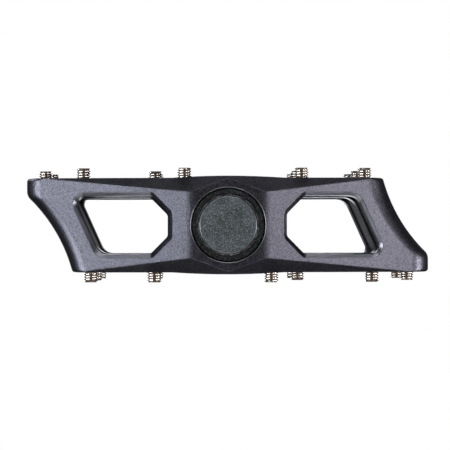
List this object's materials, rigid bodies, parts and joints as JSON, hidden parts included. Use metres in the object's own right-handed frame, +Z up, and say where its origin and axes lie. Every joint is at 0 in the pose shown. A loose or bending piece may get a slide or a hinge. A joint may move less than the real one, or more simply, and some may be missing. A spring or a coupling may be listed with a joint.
{
  "type": "flat bicycle pedal",
  "caption": "Flat platform bicycle pedal with scooped leading edges, windowed cross plates, threaded grip pins and a spindle on a bush and ball bearings.",
  "frame": {"origin": "on the spindle axis, at the shoulder that seats against the crank arm", "axes": "+Y along the spindle towards the crank arm; +Z up out of the upper tread; +X to the right of somebody who looks at the outer end"},
  "size_m": [0.113, 0.1263, 0.032],
  "materials": {
    "anodised_body": "bead-blasted and black anodised",
    "pin_steel": "bright thread-rolled steel",
    "spindle_steel": "ground steel",
    "bearing_steel": "ground steel",
    "ball_steel": "polished steel",
    "seal_rubber": "matt rubber",
    "cage_nylon": "moulded nylon",
    "bush_polymer": "plain-bearing polymer",
    "nut_steel": "zinc-plated steel",
    "cap_metal": "black anodised",
    "blank_metal": "grey, matt and slightly grainy"
  },
  "bodies": {
    "axle": {"spindle": "spindle_steel", "bearing_1_inner_ring": "bearing_steel", "bearing_2_inner_ring": "bearing_steel", "nut_washer": "nut_steel", "spindle_nut": "nut_steel"},
    "platform": {"platform_body": "anodised_body", "bottom_inner_pins": "pin_steel", "bottom_middle_pins": "pin_steel", "bottom_outer_pins": "pin_steel", "top_inner_pins": "pin_steel", "top_middle_pins": "pin_steel", "top_outer_pins": "pin_steel", "bearing_1_outer_ring": "bearing_steel", "bearing_2_outer_ring": "bearing_steel", "bearing_1_seals": "seal_rubber", "bearing_2_seals": "seal_rubber", "inner_bush": "bush_polymer", "inner_lip_seal": "seal_rubber", "end_cap": "cap_metal", "end_cap_blank": "blank_metal", "end_cap_o_ring": "seal_rubber"},
    "ball_set_1": {"bearing_1_balls": "ball_steel", "bearing_1_cage": "cage_nylon"},
    "ball_set_2": {"bearing_2_balls": "ball_steel", "bearing_2_cage": "cage_nylon"}
  },
  "joints": [
    {"name": "platform_spin", "type": "hinge", "parent": "axle", "child": "platform", "pos_m": [0, -0.06, 0], "axis": [0, 1, 0], "continuous": true},
    {"name": "ball_set_1_roll", "type": "hinge", "parent": "axle", "child": "ball_set_1", "pos_m": [0, -0.0955, 0], "axis": [0, 1, 0], "continuous": true},
    {"name": "ball_set_2_roll", "type": "hinge", "parent": "axle", "child": "ball_set_2", "pos_m": [0, -0.0905, 0], "axis": [0, 1, 0], "continuous": true}
  ],
  "couplings": [
    {"joint": "ball_set_1_roll", "follows": "platform_spin", "ratio": 0.5992},
    {"joint": "ball_set_2_roll", "follows": "platform_spin", "ratio": 0.5992}
  ]
}
